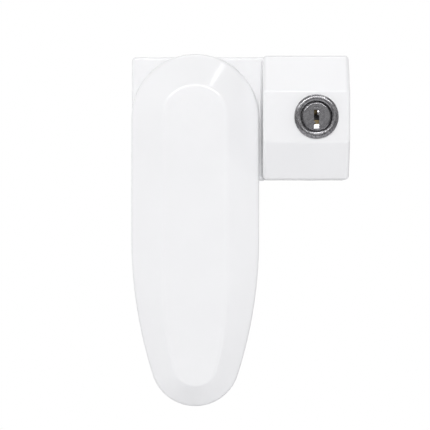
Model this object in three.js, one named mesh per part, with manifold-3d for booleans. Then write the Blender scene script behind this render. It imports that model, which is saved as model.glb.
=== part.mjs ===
// Keyed swing latch for a pair of casement sashes: a low case with a key-operated lock box, and a
// paddle-shaped arm that swings through a quarter turn on a spindle.
//
// Units are millimetres. In the finished group +X is to the right, +Z is up and the sash is at y = 0,
// with the latch in front of it at negative y. The origin is the centre of the case's back face.
// Every piece is drawn lying on its back: x to the right, y up the sash, and z is the depth, which
// is the distance out from the sash. One rotation of the whole group stands it up.

import * as THREE from "three";
import { mergeVertices } from "three/addons/utils/BufferGeometryUtils.js";
import Module from "manifold-3d";

const wasm = await Module();
wasm.setup();

// ---------------------------------------------------------------- driving dimensions

const CASE = {
  halfLength: 48.5,
  halfHeight: 27.75,
  wall: 2.7,
  cornerRadius: 2,
  edgeRadius: 1.5,
  platformTop: 15,
  platformFloor: 12,
  bushBoss: { radius: 11, rear: 9.6 },
  stopBoss: { radius: 3.5, rear: 9.2 },
  rib: { offset: 3.5, half: 0.75 },
  column: { radius: 3.2, rear: 4.7, pilotEnd: 13 },
};
const BOX = { left: 10.1, halfHeight: 27.6, wallTop: 27, top: 38, flatHalf: 11.3, edgeRadius: 2 };

const PIVOT_X = -19.9;
const ARM = {
  outline: { halfWidth: 28.5, flankStart: -53.5, flankRadius: 200, bottom: -128.5 },
  field: { halfWidth: 14.4, flankStart: -72, flankRadius: 160, bottom: -118.7 },
  rear: 16,
  shoulder: 25,
  top: 33,
  wall: 2.5,
  rim: 1.5,
  shoulderRadius: 0.8,
};
const PLATE = { rear: 16.6, front: 19.6, gap: 0.3 };
const ARM_BOSS = { radius: 4, pilot: 1.7 };
const ARM_SCREWS = [
  [-13, -40],
  [13, -40],
  [0, -84],
];
const ARM_SCREW = { head: 3.1, shank: 1.5, end: 28, headHole: 3.3, shankHole: 1.7 };
const PAD = {
  centre: -103.5,
  halfWidth: 11,
  halfHeight: 13.5,
  corner: 5,
  chamfer: 1,
  rear: 12.6,
  studRadius: 2,
  studs: [
    [0, -97],
    [0, -110],
  ],
};
const SPINDLE = {
  shaft: 6,
  collar: 10,
  collarThick: 2.5,
  square: 5.4,
  endSquare: 3.95,
  thread: 3.9,
  rear: 0.5,
  threadEnd: 4.8,
  shaftRear: 8.8,
};
const BUSH = { body: 8, flange: 9.5, bore: 6.1, rear: 8.5, seat: 9.5, front: 15.1 };
const THRUST_WASHER = { radius: 14, rear: 15.3, front: 16.4 };
const SPRING_WASHER = { inner: 4.2, outer: 7, rear: 3.9, front: 4.7, from: 20, to: 340 };
const SPINDLE_NUT = { acrossFlats: 13, rear: 0.7, front: 3.8 };
const DISC = { radius: 17, rear: 4.8, front: 8.4, notchHalf: 6.3, notchDepth: 6.5 };
const STOP = {
  radius: 1.5,
  offset: 13.5,
  rear: 5,
  front: 13,
  holeEnd: 13.3,
  slotFrom: 172,
  slotTo: 278,
  slotHalf: 1.75,
};

const LOCK_X = 33.5;
const HOUSING = {
  body: 8.5,
  flatHalf: 7.75,
  rosette: 9.75,
  rear: 14,
  face: 40.3,
  bore: 6,
  grooveHalf: 3,
  grooveReach: 6.4,
  grooveRear: 14.8,
  grooveFront: 36.4,
};
const CYLINDER_NUT = { acrossFlats: 21, rear: 31.5, front: 35.1 };
const PLUG = {
  body: 5.9,
  head: 6.35,
  rear: 13.9,
  shoulder: 37.5,
  face: 39.8,
  chamfer: 0.35,
  tang: 3.2,
  tangHalf: 1.8,
};
const KEYWAY = { half: 1.1, bottom: -5.3, top: 3, end: 16 };
const WARDS = { low: [-2.9, -2.3], high: [0.7, 1.3], reach: 0.35, recess: 0.6 };
const WAFER = { half: 2.7, halfHeight: 5.2, thick: 1, gap: 0.15 };
const WAFER_LUG = { reach: 5.1, bottom: -1.6, top: -0.4 };
const WAFER_WINDOW = { half: 1.3, bottom: -2.3, top: 2.4 };
const COIL = { x: 4, radius: 0.62, wire: 0.16, turns: 3.5, foot: -0.1, height: 2.5, pocket: 0.95 };
const WAFER_DEPTHS = [34, 30.5, 27, 23.5, 20];
const WAFER_CODES = [0.9, -0.5, 0.2, -0.9, 0.5];
const CAM = {
  radius: 7.6,
  rear: 11.2,
  front: 13.7,
  tangHole: 3.35,
  tangHoleHalf: 1.95,
  pinRadius: 1.6,
  pinRear: 5,
  pinReach: 4.243,
};
const CAM_SCREW = { head: 2.4, shank: 1.05, rear: 9.3, seat: 11.1, end: 15, pilot: 1.2, pilotEnd: 15.5 };

const SLIDE = { nose: -2.4, neck: 28, end: 41, noseHalf: 6, bodyHalf: 8.6 };
const PIN_SLOT = { half: 1.85, bottom: -6.15, top: -1.1 };
const GUIDE = {
  left: -1,
  right: 45,
  rear: 3,
  floor: 4.6,
  lipEnd: 20,
  lipThick: 1.6,
  lipInner: 6.3,
  halfHeight: 20,
};
const GUIDE_SCREW = { head: 2.7, shank: 1.25, end: 12.5, headHole: 2.9, shankHole: 1.5, pilot: 1.45 };
const COLUMNS = [
  [16.5, 16.5],
  [16.5, -16.5],
  [42, 16.5],
  [42, -16.5],
];
const BACKPLATE = {
  halfLength: 45.3,
  halfHeight: 24.6,
  corner: 3,
  thick: 2.5,
  opening: 9.5,
  tabX: 32,
  tabHalf: 6,
  tabThick: 2,
  tabFront: 11,
};
const HOOK = { rear: 7, front: 9, reach: 26.2, pocket: 26.5, clearance: 0.4 };
const CASE_SCREW = {
  depth: 7,
  head: 3.7,
  shank: 1.9,
  start: 0.3,
  end: 7.5,
  headHole: 4,
  shankHole: 2.2,
  tabHole: 2.1,
};
const FIXING_HOLE = { shank: 2.2, head: 3.6 };
const FIXINGS = [
  [-40.5, 18],
  [-40.5, -18],
  [3, 19],
  [3, -19],
  [41, 19],
  [41, -19],
];
const FIT = 0.1; // clearance round a piece that has to slide in
const LOOSE = 0.15; // clearance round a piece that has to turn or drop in
const PAST = 1; // how far a cutter runs past the face it opens
const FAR = 60; // half the size of a cutter that only has to reach past everything
const SIDES = 32; // round pieces
const SMALL_SIDES = 14; // screws and pins

// ---------------------------------------------------------------- finishes

const FINISHES = {
  whiteCoat: { color: 0xf4f4f6, roughness: 0.38, metalness: 0 },
  zincPlate: { color: 0xb9bcc0, roughness: 0.42, metalness: 1 },
  nickel: { color: 0xa9a9ac, roughness: 0.3, metalness: 1 },
  brass: { color: 0xc7a35a, roughness: 0.35, metalness: 1 },
  springSteel: { color: 0x8f9296, roughness: 0.35, metalness: 1 },
  blackSteel: { color: 0x55585c, roughness: 0.5, metalness: 1 },
  acetal: { color: 0xe9e6dc, roughness: 0.5, metalness: 0 },
  rubber: { color: 0x2b2b2d, roughness: 0.85, metalness: 0 },
};

// ---------------------------------------------------------------- solids from geometry

// A closed three.js geometry as a solid that can be joined and cut
function solid(geometry) {
  geometry.deleteAttribute("normal");
  geometry.deleteAttribute("uv");
  const merged = mergeVertices(geometry, 1e-4);
  const triangles = new Uint32Array(merged.index.array);
  const vertices = new Float32Array(merged.attributes.position.array);
  return new wasm.Manifold(
    new wasm.Mesh({ numProp: 3, vertProperties: vertices, triVerts: triangles }),
  );
}

// The geometry of a solid
function skin(body) {
  const mesh = body.getMesh();
  const geometry = new THREE.BufferGeometry();
  geometry.setAttribute("position", new THREE.BufferAttribute(mesh.vertProperties, 3));
  geometry.setIndex(new THREE.BufferAttribute(mesh.triVerts, 1));
  geometry.computeVertexNormals();
  return geometry;
}

const join = (body, ...others) => others.reduce((whole, other) => whole.add(other), body);
const cut = (body, ...cutters) => cutters.reduce((rest, cutter) => rest.subtract(cutter), body);

function block([left, right], [low, high], [rear, front]) {
  const geometry = new THREE.BoxGeometry(right - left, high - low, front - rear);
  geometry.translate((left + right) / 2, (low + high) / 2, (rear + front) / 2);
  return solid(geometry);
}

// A round bar along the depth, or a cone when the front radius differs
function rod(radius, rear, front, [x, y] = [0, 0], sides = SIDES, frontRadius = radius) {
  const geometry = new THREE.CylinderGeometry(frontRadius, radius, front - rear, sides);
  geometry.rotateX(Math.PI / 2);
  geometry.translate(x, y, (rear + front) / 2);
  return solid(geometry);
}

// A profile of [radius, depth] points turned about the depth axis
function turned(profile, sides = SIDES) {
  const points = profile.map(([radius, depth]) => new THREE.Vector2(radius, depth));
  const geometry = new THREE.LatheGeometry(points, sides);
  geometry.rotateX(Math.PI / 2);
  return solid(geometry);
}

function pressed(shape, rear, front) {
  const settings = { depth: front - rear, bevelEnabled: false, curveSegments: 12 };
  const geometry = new THREE.ExtrudeGeometry(shape, settings);
  geometry.translate(0, 0, rear);
  return solid(geometry);
}

function regular(sides, acrossFlats, turn = 0) {
  const radius = acrossFlats / 2 / Math.cos(Math.PI / sides);
  const corner = (_, i) => {
    const angle = turn + ((i + 0.5) * 2 * Math.PI) / sides;
    return new THREE.Vector2(radius * Math.cos(angle), radius * Math.sin(angle));
  };
  return new THREE.Shape(Array.from({ length: sides }, corner));
}

// Points of a circle's arc, both ends included
function arc([x, y], radius, start, end, steps) {
  const point = (_, i) => {
    const angle = start + ((end - start) * i) / steps;
    return new THREE.Vector2(x + radius * Math.cos(angle), y + radius * Math.sin(angle));
  };
  return Array.from({ length: steps + 1 }, point);
}

function roundedRectangle(halfX, halfY, radius, steps = 4) {
  const corners = [
    [halfX - radius, halfY - radius],
    [radius - halfX, halfY - radius],
    [radius - halfX, radius - halfY],
    [halfX - radius, radius - halfY],
  ];
  return corners.flatMap((corner, i) => {
    const start = (i * Math.PI) / 2;
    return arc(corner, radius, start, start + Math.PI / 2, steps);
  });
}

// The arm's outline: a round head about the pivot, straight sides, slightly curved flanks and a
// round tip that meets them tangentially. An inset moves all of it inwards by an even distance.
function paddle({ halfWidth, flankStart, flankRadius, bottom }, inset = 0) {
  const half = halfWidth - inset;
  const flank = flankRadius - inset;
  const low = bottom + inset;
  const drop = flankStart - low;
  const tip = (flank ** 2 - (flank - half) ** 2 - drop ** 2) / (2 * (flank - drop));
  const tipCentre = [0, low + tip];
  const lean = Math.atan2(flankStart - tipCentre[1], flank - half);
  return [
    ...arc([0, 0], half, 0, Math.PI, 20),
    ...arc([flank - half, flankStart], flank, Math.PI, Math.PI + lean, 5),
    ...arc(tipCentre, tip, Math.PI + lean, 2 * Math.PI - lean, 12).slice(1),
    ...arc([half - flank, flankStart], flank, 2 * Math.PI - lean, 2 * Math.PI, 5).slice(1),
  ];
}

// A closed body through convex rings of equal length, given as [outline, depth] in order.
// Rings may run inwards and down as well as out and up, which makes a hollow shell.
function loft(rings) {
  const count = rings[0][0].length;
  const last = (rings.length - 1) * count;
  const positions = rings.flatMap(([outline, depth]) => outline.flatMap(({ x, y }) => [x, y, depth]));
  const index = [];
  for (let i = 1; i < count - 1; i++) {
    index.push(0, i + 1, i, last, last + i, last + i + 1);
  }
  for (let start = 0; start < last; start += count) {
    for (let i = 0; i < count; i++) {
      const a = start + i;
      const b = start + ((i + 1) % count);
      index.push(a, b, b + count, a, b + count, a + count);
    }
  }
  const geometry = new THREE.BufferGeometry();
  geometry.setAttribute("position", new THREE.Float32BufferAttribute(positions, 3));
  geometry.setIndex(index);
  return solid(geometry);
}

// A convex outline, anticlockwise, with every side moved inwards by the same distance
function insetSides(points, distance) {
  const lines = points.map((point, i) => {
    const next = points[(i + 1) % points.length];
    const along = next.clone().sub(point).normalize();
    const inward = new THREE.Vector2(-along.y, along.x);
    return { start: point.clone().addScaledVector(inward, distance), along };
  });
  return lines.map((line, i) => {
    const before = lines[(i + lines.length - 1) % lines.length];
    const gap = before.start.clone().sub(line.start);
    const reach = gap.cross(before.along) / line.along.cross(before.along);
    return line.start.clone().addScaledVector(line.along, reach);
  });
}

// A countersunk screw along the depth, head first at the rear
function countersunk(head, shank, rear, end, [x, y]) {
  const headDepth = head - shank;
  const [recessWidth, recessDepth] = [head * 0.55, headDepth * 0.6];
  const cone = rod(head, rear, rear + headDepth, [x, y], SMALL_SIDES, shank);
  const bar = rod(shank, rear + headDepth / 2, end, [x, y], SMALL_SIDES);
  const recess = pressed(regular(4, recessWidth), rear - PAST, rear + recessDepth);
  return cut(join(cone, bar), recess.translate([x, y, 0]));
}

// The hole for such a screw
function countersink(head, shank, rear, end, [x, y]) {
  const overlap = 0.01;
  const cone = rod(head, rear, rear + head - shank, [x, y], SMALL_SIDES, shank);
  const approach = rod(head, rear - 5 * PAST, rear + overlap, [x, y], SMALL_SIDES);
  const bore = rod(shank, rear, end, [x, y], SMALL_SIDES);
  return join(cone, approach, bore);
}

// ---------------------------------------------------------------- the group of sub-parts

const latch = new THREE.Group();
latch.rotation.x = Math.PI / 2;
const armGroup = new THREE.Group();
armGroup.position.x = PIVOT_X;
const lockGroup = new THREE.Group();
lockGroup.position.x = LOCK_X;
latch.add(armGroup, lockGroup);

function place(group, name, body, finish) {
  const mesh = new THREE.Mesh(skin(body), new THREE.MeshStandardMaterial(FINISHES[finish]));
  mesh.name = name;
  group.add(mesh);
}

// ---------------------------------------------------------------- lock case

// Profile of the lock box across its height and depth, closed behind the sash face
function boxProfile() {
  const { halfHeight, wallTop, flatHalf, top } = BOX;
  const buried = -10 * PAST;
  return [
    new THREE.Vector2(halfHeight, buried),
    new THREE.Vector2(halfHeight, wallTop),
    new THREE.Vector2(flatHalf, top),
    new THREE.Vector2(-flatHalf, top),
    new THREE.Vector2(-halfHeight, wallTop),
    new THREE.Vector2(-halfHeight, buried),
  ];
}

// A profile of (height, depth) points drawn out along x between two places
function drawnAlongX(points, left, right, edge = 0) {
  const settings = {
    depth: right - left - 2 * edge,
    bevelEnabled: edge > 0,
    bevelSize: edge,
    bevelThickness: edge,
    bevelOffset: -edge,
    bevelSegments: 3,
  };
  const geometry = new THREE.ExtrudeGeometry(new THREE.Shape(points), settings);
  geometry.translate(0, 0, left + edge);
  const axes = [new THREE.Vector3(0, 1, 0), new THREE.Vector3(0, 0, 1), new THREE.Vector3(1, 0, 0)];
  geometry.applyMatrix4(new THREE.Matrix4().makeBasis(...axes));
  return solid(geometry);
}

// The low platform of the case, rounded over at its front edge
function casePlatform() {
  const { halfLength, halfHeight, cornerRadius, edgeRadius, platformTop } = CASE;
  const sharpest = 0.4;
  const soften = 1 - Math.SQRT1_2;
  const ring = (inset) =>
    roundedRectangle(halfLength - inset, halfHeight - inset, Math.max(cornerRadius - inset, sharpest));
  return loft([
    [ring(0), 0],
    [ring(0), platformTop - edgeRadius],
    [ring(edgeRadius * soften), platformTop - edgeRadius * soften],
    [ring(edgeRadius), platformTop],
  ]);
}

function lockCase() {
  const { halfLength, wall, platformTop, platformFloor, bushBoss, stopBoss, rib, column } = CASE;
  const platform = casePlatform();
  const leftPart = block([-FAR, BOX.left + PAST], [-FAR, FAR], [-PAST, platformTop + PAST]);
  const inFront = block([-FAR, FAR], [-FAR, FAR], [0, BOX.top + PAST]);
  const box = drawnAlongX(boxProfile(), BOX.left, halfLength, BOX.edgeRadius).intersect(inFront);
  const outside = join(platform.intersect(leftPart), box);

  const innerEnd = halfLength - wall;
  const innerHalf = BOX.halfHeight - wall;
  const boxHollow = drawnAlongX(insetSides(boxProfile(), wall), BOX.left + wall, innerEnd);
  const lowHollow = block([-innerEnd, innerEnd], [-innerHalf, innerHalf], [-PAST, platformFloor]);

  const columnAt = (at) => rod(column.radius, column.rear, BOX.top, at, SMALL_SIDES).intersect(box);
  const stopAt = [PIVOT_X - STOP.offset, 0];
  const ribSpan = [GUIDE.left, BOX.left + PAST];
  const ribDepths = [DISC.front + 3 * FIT, platformFloor + PAST];
  const ribAt = (y) => block(ribSpan, [y - rib.half, y + rib.half], ribDepths);
  const body = join(
    cut(outside, boxHollow, lowHollow),
    ...COLUMNS.map(columnAt),
    rod(bushBoss.radius, bushBoss.rear, platformTop, [PIVOT_X, 0]).intersect(platform),
    rod(stopBoss.radius, stopBoss.rear, platformFloor + PAST, stopAt, SMALL_SIDES),
    ribAt(rib.offset),
    ribAt(-rib.offset),
  );

  const bossRear = stopBoss.rear - PAST;
  const lockDepths = [BOX.top - 8 * PAST, BOX.top + PAST];
  const flatHalf = HOUSING.flatHalf + FIT;
  const flats = block([-flatHalf, flatHalf], [-FAR, FAR], lockDepths);
  const pocketHalf = BACKPLATE.tabHalf + HOOK.clearance;
  const pocketHeights = [innerHalf - PAST, HOOK.pocket];
  const pocketDepths = [HOOK.rear - HOOK.clearance, HOOK.front + HOOK.clearance];
  const hookPocket = (x) => block([x - pocketHalf, x + pocketHalf], pocketHeights, pocketDepths);
  const pilotRear = column.rear - PAST;
  const { headHole, shankHole } = CASE_SCREW;
  const screwHole = ([x, edge]) => upright(countersink(headHole, shankHole, 0, 10 * PAST, [0, 0]), x, edge);
  return cut(
    body,
    rod(BUSH.body + LOOSE, bossRear, platformTop + PAST, [PIVOT_X, 0]),
    rod(STOP.radius + FIT, bossRear, STOP.holeEnd, stopAt, SMALL_SIDES),
    ...COLUMNS.map((at) => rod(GUIDE_SCREW.pilot, pilotRear, column.pilotEnd, at, SMALL_SIDES)),
    rod(HOUSING.body + FIT, ...lockDepths).intersect(flats).translate([LOCK_X, 0, 0]),
    hookPocket(BACKPLATE.tabX),
    hookPocket(-BACKPLATE.tabX),
    ...caseScrewPlaces().map(screwHole),
  );
}

// Case screws enter from below: [x, height of the case's lower face there]
function caseScrewPlaces() {
  return [
    [-BACKPLATE.tabX, -CASE.halfHeight],
    [BACKPLATE.tabX, -BOX.halfHeight],
  ];
}

// Turns a piece drawn along the depth so that it points up the sash from the given lower edge
function upright(body, x, edge) {
  return body.rotate([-90, 0, 0]).translate([x, edge, CASE_SCREW.depth]);
}

place(latch, "lock_case", lockCase(), "whiteCoat");

// ---------------------------------------------------------------- mounting plate and its screws

function mountingPlate() {
  const { halfLength, halfHeight, corner, thick, opening, tabX, tabHalf, tabThick, tabFront } = BACKPLATE;
  const outline = new THREE.Shape(roundedRectangle(halfLength, halfHeight, corner));
  const sheet = pressed(outline, 0, thick);
  const root = thick - PAST / 2;
  const inner = halfHeight - tabThick;
  const tabs = [tabX, -tabX].flatMap((x) => [
    block([x - tabHalf, x + tabHalf], [inner, halfHeight], [root, HOOK.front]),
    block([x - tabHalf, x + tabHalf], [halfHeight - PAST, HOOK.reach], [HOOK.rear, HOOK.front]),
    block([x - tabHalf, x + tabHalf], [-halfHeight, -inner], [root, tabFront]),
  ]);
  const bar = rod(CASE_SCREW.tabHole, 0, 12 * PAST, [0, 0], SMALL_SIDES);
  const tabHoles = [tabX, -tabX].map((x) => upright(bar, x, -halfHeight - 5 * PAST));
  const { shank, head } = FIXING_HOLE;
  const fixings = FIXINGS.map((at) => rod(shank, -PAST, thick + PAST, at, SMALL_SIDES, head));
  const nutOpening = rod(opening, -PAST, thick + PAST, [PIVOT_X, 0]);
  return cut(join(sheet, ...tabs), nutOpening, ...tabHoles, ...fixings);
}

place(latch, "mounting_plate", mountingPlate(), "zincPlate");
caseScrewPlaces().forEach(([x, edge], i) => {
  const { head, shank, start, end } = CASE_SCREW;
  const screw = countersunk(head, shank, start, end, [0, 0]);
  place(latch, `case_screw_${i + 1}`, upright(screw, x, edge), "zincPlate");
});

// ---------------------------------------------------------------- pivot

const bush = turned([
  [BUSH.bore, BUSH.rear],
  [BUSH.flange, BUSH.rear],
  [BUSH.flange, BUSH.seat],
  [BUSH.body, BUSH.seat],
  [BUSH.body, BUSH.front],
  [BUSH.bore, BUSH.front],
  [BUSH.bore, BUSH.rear],
]);
place(armGroup, "pivot_bush", bush, "brass");

const stopPin = rod(STOP.radius, STOP.rear, STOP.front, [-STOP.offset, 0], SMALL_SIDES);
place(armGroup, "stop_pin", stopPin, "springSteel");

// Collar, square for the arm's plate, round shaft, square for the disc, and the nut's thread.
// Each step is buried a little way in the next one.
function spindle() {
  const { shaft, collar, collarThick, square, endSquare, thread, rear, threadEnd, shaftRear } = SPINDLE;
  const buried = 0.2;
  return join(
    rod(collar, PLATE.front + FIT, PLATE.front + FIT + collarThick),
    pressed(regular(4, 2 * square), PLATE.rear - FIT, PLATE.front + buried),
    rod(shaft, shaftRear - buried, PLATE.rear - FIT / 2),
    pressed(regular(4, 2 * endSquare), threadEnd - FIT, shaftRear + buried),
    rod(thread, rear, threadEnd + buried),
  );
}

function lockingDisc() {
  const { radius, rear, front, notchHalf, notchDepth } = DISC;
  const depths = [rear - PAST, front + PAST];
  const notch = block([radius - notchDepth, radius + PAST], [-notchHalf, notchHalf], depths);
  const [from, to] = [STOP.slotFrom, STOP.slotTo].map(THREE.MathUtils.degToRad);
  const slot = new THREE.Shape([
    ...arc([0, 0], STOP.offset + STOP.slotHalf, from, to, 18),
    ...arc([0, 0], STOP.offset - STOP.slotHalf, to, from, 18),
  ]);
  const square = regular(4, 2 * (SPINDLE.endSquare + LOOSE));
  return cut(
    rod(radius, rear, front),
    notch,
    notch.rotate([0, 0, 90]),
    pressed(square, ...depths),
    pressed(slot, ...depths),
  );
}

function springWasher() {
  const { inner, outer, rear, front, from, to } = SPRING_WASHER;
  const [start, end] = [from, to].map(THREE.MathUtils.degToRad);
  const outline = [...arc([0, 0], outer, start, end, 20), ...arc([0, 0], inner, end, start, 20)];
  return pressed(new THREE.Shape(outline), rear, front);
}

// A flat piece with a round hole that runs right through it
function bored(body, radius, [rear, front]) {
  return cut(body, rod(radius, rear - PAST, front + PAST));
}

function thrustWasher() {
  const { radius, rear, front } = THRUST_WASHER;
  return bored(rod(radius, rear, front), SPINDLE.shaft + 2 * FIT, [rear, front]);
}

function spindleNut() {
  const { acrossFlats, rear, front } = SPINDLE_NUT;
  return bored(pressed(regular(6, acrossFlats), rear, front), SPINDLE.thread + LOOSE, [rear, front]);
}

place(armGroup, "spindle", spindle(), "zincPlate");
place(armGroup, "thrust_washer", thrustWasher(), "acetal");
place(armGroup, "locking_disc", lockingDisc(), "zincPlate");
place(armGroup, "spring_washer", springWasher(), "springSteel");
place(armGroup, "spindle_nut", spindleNut(), "zincPlate");

// ---------------------------------------------------------------- arm

function armCover() {
  const { outline, field, rear, shoulder, top, wall, rim, shoulderRadius } = ARM;
  const seat = PLATE.front + PLATE.gap;
  const shell = loft([
    [paddle(field, wall / 3), top - wall],
    [paddle(outline, wall), shoulder - wall / 2],
    [paddle(outline, wall), seat],
    [paddle(outline, rim), seat],
    [paddle(outline, rim), rear],
    [paddle(outline), rear],
    [paddle(outline), shoulder - shoulderRadius],
    [paddle(outline, shoulderRadius), shoulder],
    [paddle(field), top],
  ]);
  const inside = top - wall;
  const boss = (at) => rod(ARM_BOSS.radius, seat, inside + PAST, at, SMALL_SIDES);
  const pilot = (at) => rod(ARM_BOSS.pilot, seat - PAST, inside - PAST, at, SMALL_SIDES);
  return cut(join(shell, ...ARM_SCREWS.map(boss)), ...ARM_SCREWS.map(pilot));
}

function armPlate() {
  const { rear, front, gap } = PLATE;
  const depths = [rear - PAST, front + PAST];
  const { headHole, shankHole } = ARM_SCREW;
  const outline = paddle(ARM.outline, ARM.rim + gap);
  const square = regular(4, 2 * (SPINDLE.square + LOOSE));
  const screwHole = (at) => countersink(headHole, shankHole, rear, front + PAST, at);
  const studHole = (at) => rod(PAD.studRadius + LOOSE, ...depths, at, SMALL_SIDES);
  return cut(
    pressed(new THREE.Shape(outline), rear, front),
    pressed(square, ...depths),
    ...ARM_SCREWS.map(screwHole),
    ...PAD.studs.map(studHole),
  );
}

function bufferPad() {
  const { centre, halfWidth, halfHeight, corner, chamfer, rear, studRadius } = PAD;
  const ring = (inset) => roundedRectangle(halfWidth - inset, halfHeight - inset, corner - inset);
  const pad = loft([
    [ring(chamfer), rear],
    [ring(0), rear + chamfer],
    [ring(0), PLATE.rear - LOOSE],
  ]).translate([0, centre, 0]);
  const stud = (at) => rod(studRadius, rear + 2 * chamfer, PLATE.front, at, SMALL_SIDES);
  return join(pad, ...PAD.studs.map(stud));
}

place(armGroup, "arm_cover", armCover(), "whiteCoat");
place(armGroup, "arm_plate", armPlate(), "zincPlate");
place(armGroup, "buffer_pad", bufferPad(), "rubber");
ARM_SCREWS.forEach((at, i) => {
  const screw = countersunk(ARM_SCREW.head, ARM_SCREW.shank, PLATE.rear + FIT, ARM_SCREW.end, at);
  place(armGroup, `arm_screw_${i + 1}`, screw, "zincPlate");
});

// ---------------------------------------------------------------- lock cylinder

// The rosette has a chamfered rim and a sloping funnel round the plug. The body has two flats and a
// cross of grooves in its bore for the wafers.
function cylinderHousing() {
  const { body, flatHalf, rosette, rear, face, bore } = HOUSING;
  const { grooveHalf, grooveReach, grooveRear, grooveFront } = HOUSING;
  const underFlange = BOX.top + FIT;
  const recess = PLUG.head + 2 * FIT;
  const seat = PLUG.shoulder - FIT;
  const housing = turned([
    [bore, rear],
    [body, rear],
    [body, underFlange],
    [rosette, underFlange],
    [rosette, face - 0.9],
    [rosette - 0.95, face],
    [recess + 1.05, face],
    [recess + 0.45, face - 0.5],
    [recess, face - 1.9],
    [recess, seat],
    [bore, seat],
    [bore, rear],
  ]);
  const rightFlat = block([flatHalf, FAR], [-FAR, FAR], [0, underFlange]);
  const grooveDepths = [grooveRear, grooveFront];
  return cut(
    housing,
    rightFlat,
    rightFlat.rotate([0, 0, 180]),
    block([-grooveHalf, grooveHalf], [-grooveReach, grooveReach], grooveDepths),
    block([-grooveReach, grooveReach], [-grooveHalf, grooveHalf], grooveDepths),
  );
}

// The slots through the plug that one wafer, its lug and its spring run in
function chamber(depth) {
  const reach = WAFER.thick / 2 + WAFER.gap;
  const slot = [depth - reach, depth + reach];
  const side = WAFER.half + FIT;
  const lugHeights = [WAFER_LUG.bottom - 0.9, WAFER_LUG.top + 0.2];
  const pocket = rod(COIL.pocket, COIL.foot - 0.3, COIL.foot + COIL.height + 0.3, [0, 0], 12);
  return [
    block([-side, side], [-FAR, FAR], slot),
    block([WAFER.half - 0.5, WAFER_LUG.reach + 0.2], lugHeights, slot),
    pocket.rotate([-90, 0, 0]).translate([COIL.x, 0, depth]),
  ];
}

function plug() {
  const { body, head, rear, shoulder, face, chamfer, tang, tangHalf } = PLUG;
  const tangEnd = CAM.rear + FIT;
  const bar = turned([
    [0, tangEnd],
    [tang, tangEnd],
    [tang, rear],
    [body, rear],
    [body, shoulder],
    [head, shoulder],
    [head, face - chamfer],
    [head - chamfer, face],
    [0, face],
  ]);
  const tangSide = block([-FAR, FAR], [tangHalf, FAR], [0, rear - FIT / 2]).rotate([0, 0, 45]);
  const { half, bottom, top, end } = KEYWAY;
  const wardDepths = [end + PAST, face - WARDS.recess];
  const keyway = block([-half, half], [bottom, top], [end, face + PAST]);
  const leftWard = block([-half - 2 * FIT, -WARDS.reach], WARDS.low, wardDepths);
  const rightWard = block([WARDS.reach, half + 2 * FIT], WARDS.high, wardDepths);
  return cut(
    join(cut(bar, keyway), leftWard, rightWard),
    tangSide,
    tangSide.rotate([0, 0, 180]),
    ...WAFER_DEPTHS.flatMap(chamber),
    rod(CAM_SCREW.pilot, 0, CAM_SCREW.pilotEnd, [0, 0], SMALL_SIDES),
  );
}

// A flat slice with a lug for its spring and a window the key would pass through
function wafer(depth, code) {
  const { half, halfHeight, thick } = WAFER;
  const slice = [depth - thick / 2, depth + thick / 2];
  const windowHeights = [WAFER_WINDOW.bottom + code, WAFER_WINDOW.top + code];
  const window = block([-WAFER_WINDOW.half, WAFER_WINDOW.half], windowHeights, [0, FAR]);
  const lug = block([half - 0.5, WAFER_LUG.reach], [WAFER_LUG.bottom, WAFER_LUG.top], slice);
  return cut(join(block([-half, half], [-halfHeight, halfHeight], slice), lug), window);
}

// The centre line of a small coil that stands on a wafer's lug
class Coil extends THREE.Curve {
  getPoint(t) {
    const angle = t * COIL.turns * 2 * Math.PI;
    return new THREE.Vector3(COIL.radius * Math.cos(angle), t * COIL.height, COIL.radius * Math.sin(angle));
  }
}

function waferSpring(depth) {
  const wire = new THREE.Shape(arc([0, 0], COIL.wire, 0, 2 * Math.PI, 4).slice(1));
  const settings = { extrudePath: new Coil(), steps: 24, bevelEnabled: false };
  return solid(new THREE.ExtrudeGeometry(wire, settings)).translate([COIL.x, COIL.foot, depth]);
}

// A disc on the plug's tang with a pin that drives the bolt
function cam() {
  const { radius, rear, front, tangHole, tangHoleHalf, pinRadius, pinRear, pinReach } = CAM;
  const middle = block([-FAR, FAR], [-tangHoleHalf, tangHoleHalf], [0, FAR]);
  const hole = rod(tangHole, rear - PAST, front + PAST).intersect(middle).rotate([0, 0, 45]);
  const offset = pinReach * Math.SQRT1_2;
  const pin = rod(pinRadius, pinRear, rear + PAST / 2, [offset, -offset], SMALL_SIDES);
  return join(cut(rod(radius, rear, front), hole), pin);
}

function camScrew() {
  const { head, shank, rear, seat, end } = CAM_SCREW;
  const shankBar = rod(shank, seat - FIT, end, [0, 0], SMALL_SIDES);
  return join(rod(head, rear, seat, [0, 0], SMALL_SIDES), shankBar);
}

function cylinderNut() {
  const { acrossFlats, rear, front } = CYLINDER_NUT;
  const hexagon = regular(6, acrossFlats, Math.PI / 6);
  return bored(pressed(hexagon, rear, front), HOUSING.body + LOOSE, [rear, front]);
}

place(lockGroup, "cylinder_housing", cylinderHousing(), "nickel");
place(lockGroup, "cylinder_nut", cylinderNut(), "zincPlate");
place(lockGroup, "plug", plug(), "nickel");
place(lockGroup, "cam", cam(), "zincPlate");
place(lockGroup, "cam_screw", camScrew(), "zincPlate");
WAFER_DEPTHS.forEach((depth, i) => {
  place(lockGroup, `wafer_${i + 1}`, wafer(depth, WAFER_CODES[i]), "brass");
  place(lockGroup, `wafer_spring_${i + 1}`, waferSpring(depth), "springSteel");
});

// ---------------------------------------------------------------- bolt and its guide

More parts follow.
